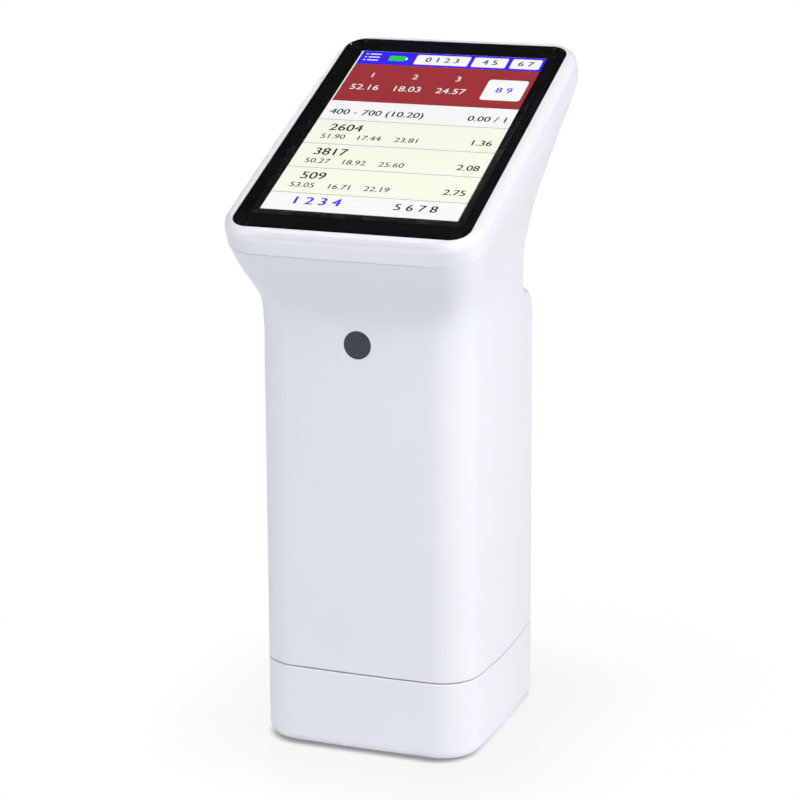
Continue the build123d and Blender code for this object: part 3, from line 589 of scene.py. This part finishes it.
# Top bar: a list icon, a battery and three keys
bar_low, bar_high = bar_foot + 0.8, bar_head - 0.8
for row in range(3):
    y = bar_low + 0.9 + row * 1.45
    keys.block(1.6, y, 2.1, y + 0.45)
    keys.block(2.6, y, 5.6, y + 0.45)
battery.block(8.2, bar_low + 1.1, 12.5, bar_high - 1.1, 0.3)
keys.block(12.6, bar_low + 1.7, 13.1, bar_high - 1.7, 0.2)
for x0, x1, label in ((15.3, 29.5, "0 1 2 3"), (30.5, 39.4, "4 5"), (40.5, 48.2, "6 7")):
    keys.block(x0, bar_low, x1, bar_high, 0.5)
    ink.figures(label, (x0 + x1) / 2, bar_low + 1.35, 3.2, 0.05)

# Reading: three values and a key
for index, (head, value) in enumerate((("1", "52.16"), ("2", "18.03"), ("3", "24.57"))):
    x = 6.6 + 11.3 * index
    keys.figures(head, x + 0.2, L * 0.823, 3.2)
    keys.figures(value, x, L * 0.742, 3.5)
keys.block(37.4, L * 0.715, 47.7, L * 0.845, 0.9)
blue_ink.figures("8 9", 42.5, L * 0.764, 3.4, 0.05)

# Header strip and three rows of figures
ink.figures("400 - 700 (10.20)", 13.9, L * 0.58, 3.5, 0.05)
ink.figures("0.00 / 1", 42.3, L * 0.58, 3.4, 0.05)
results = (
    ("2604", ("51.90", "17.44", "23.81"), "1.36"),
    ("3817", ("50.27", "18.92", "25.60"), "2.08"),
    ("509", ("53.05", "16.71", "22.19"), "2.75"),
)
for index, (name, values, result) in enumerate(results):
    y = row_edges[index] - 4.9
    ink.figures(name, 6.2 + 0.6 * len(name), y, 4.3, 0.06)
    for column, value in enumerate(values):
        ink.figures(value, 6.6 + 9.4 * column, y - 3.7, 2.9, 0.02)
    ink.figures(result, 44.4, y - 3.2, 3.3, 0.05)

# Tabs
blue_ink.figures("1 2 3 4", 13.0, L * 0.037, 4.4, 0.12)
ink.figures("5 6 7 8", 37.4, L * 0.037, 3.8, 0.06)
for picture in (ground, bar, band, rows, rules, battery, keys, ink, blue_ink):
    picture.finish()


# Badge: a bare printed disc that follows the column's front face, just proud of it
def front_face(start, direction):
    """Where a ray meets the column."""
    return nodes["column_shell"].ray_cast(start, direction)[1]


badge_x, badge_y = 357.3, 345.3
middle_x = middle_y = picture_size / 2
toward = (badge_x - middle_x) / focal * right - (badge_y - middle_y) / focal * up - back
badge_centre = front_face(eye, toward.normalized())
badge_radius = 3.4 * MM
proud = Vector((0, -0.00003, 0))
shape = bmesh.new()
rings, turns = 8, 72
loops = []
for ring in range(1, rings + 1):
    loop = []
    for step in range(turns):
        angle = math.tau * step / turns
        reach = badge_radius * ring / rings
        x = badge_centre.x + reach * math.cos(angle)
        z = badge_centre.z + reach * math.sin(angle)
        loop.append(shape.verts.new(front_face(Vector((x, -0.1, z)), Vector((0, 1, 0))) + proud))
    loops.append(loop)
middle = shape.verts.new(badge_centre + proud)
for step in range(turns):
    after = (step + 1) % turns
    shape.faces.new((middle, loops[0][step], loops[0][after]))
    for inner, outer in zip(loops, loops[1:]):
        shape.faces.new((inner[step], outer[step], outer[after], inner[after]))
bmesh.ops.recalc_face_normals(shape, faces=shape.faces)
mesh = bpy.data.meshes.new("badge")
shape.to_mesh(mesh)
shape.free()
for face in mesh.polygons:
    face.use_smooth = True
add_piece(
    "badge",
    mesh,
    material("badge_ink", moulded((0.042, 0.050, 0.062), (0.032, 0.039, 0.050), 2600.0, 0.05, (0.4, 0.5))),
)

# Studio: a pale floor and surround that the camera sees as white, a soft shade round the cap's
# foot, and soft lights from both sides, above and behind
floor_mesh = bpy.data.meshes.new("floor")
floor_shape = bmesh.new()
bmesh.ops.create_grid(floor_shape, x_segments=8, y_segments=8, size=3.0)
floor_shape.to_mesh(floor_mesh)
floor_shape.free()
floor = bpy.data.objects.new("floor", floor_mesh)
link(floor)
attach(floor, "cap")  # the cap keeps standing on the floor when the instrument is lifted out of it
floor_made = bpy.data.materials.new("floor")
floor_made.use_nodes = True
tree = floor_made.node_tree
bsdf = tree.nodes["Principled BSDF"]
bsdf.inputs["Base Color"].default_value = (0.93, 0.935, 0.945, 1)
bsdf.inputs["Roughness"].default_value = 0.3
place = Ink(tree, tree.nodes.new("ShaderNodeTexCoord").outputs["Object"])
x, y = place.part("X"), place.part("Y")
# The cap's foot: half its straight sides, how far it sits forward, and its corner radius
foot_half_width, foot_half_depth, foot_forward, foot_corner = 0.0165, 0.0190, 0.001, 0.0085
side = (x.size() - foot_half_width).sum("MAXIMUM", 0.0)
front = ((y + foot_forward).size() - foot_half_depth).sum("MAXIMUM", 0.0)
clearance = (side * side + front * front).power(0.5) - foot_corner
contact = clearance.span(-0.0004, 0.0030, 0.30, 1.0) * clearance.span(0.0, 0.045, 0.92, 1.0)
shade = contact.mix((0.0, 0.0, 0.01), (1.0, 1.0, 1.0))
glow = place.node("ShaderNodeEmission", links={"Color": shade, "Strength": 1.0})
rays = tree.nodes.new("ShaderNodeLightPath").outputs
mirrored = Ink(tree, rays["Is Glossy Ray"]).sum("MAXIMUM", Ink(tree, rays["Is Transmission Ray"]))
seen = (mirrored * 0.4).sum("MAXIMUM", Ink(tree, rays["Is Camera Ray"]))
seen = seen * (x * x + y * y).power(0.5).span(0.04, 0.13, 0.95, 1.0)
blend = place.node("ShaderNodeMixShader", links={0: seen, 1: Ink(tree, bsdf.outputs[0]), 2: glow})
tree.links.new(blend.socket, tree.nodes["Material Output"].inputs["Surface"])
floor_mesh.materials.append(floor_made)

world = bpy.data.worlds.new("studio")
bpy.context.scene.world = world
world.use_nodes = True
tree = world.node_tree
rays = tree.nodes.new("ShaderNodeLightPath").outputs
direction = Ink(tree, tree.nodes.new("ShaderNodeTexCoord").outputs["Generated"])
overhead = (0.03, 0.03, 0.035)
height = direction.part("Z").span(0.22, 0.42)
plain = height.mix((0.36, 0.39, 0.60), overhead)
gloss = height.mix((0.42, 0.43, 0.48), overhead)
clear_view = Ink(tree, rays["Is Camera Ray"])
mirrored = Ink(tree, rays["Is Glossy Ray"]).sum("MAXIMUM", Ink(tree, rays["Is Transmission Ray"]))
sky = clear_view.mix(mirrored.mix(plain, gloss), (1.0, 1.0, 1.0))
tree.links.new(sky.socket, tree.nodes["Background"].inputs["Color"])


def softbox(name, heading, height, power, colour=(1, 1, 1)):
    """A soft light at a heading from the front towards the right and a height above level, in degrees."""
    reach, aim = 0.95, Vector((0, 0, 0.09))
    light = bpy.data.lights.new(name, "AREA")
    light.shape = "RECTANGLE"
    light.size, light.size_y = 0.35, 0.6
    light.energy = power
    light.color = colour
    holder = bpy.data.objects.new(name, light)
    heading, height = math.radians(heading), math.radians(height)
    level = math.cos(height)
    out = Vector((math.sin(heading) * level, -math.cos(heading) * level, math.sin(height)))
    turned_to = out.to_track_quat("Z", "Y").to_matrix().to_4x4()
    holder.matrix_world = Matrix.Translation(aim + out * reach) @ turned_to
    link(holder)


softbox("key", 80, 28, 5.3)
softbox("fill", -43, 36, 3.25, (0.96, 0.97, 1.0))
softbox("top", 30, 60, 3.5, (1.0, 1.0, 0.85))
softbox("rear", 208, 22, 2.6, (1.0, 0.98, 0.93))
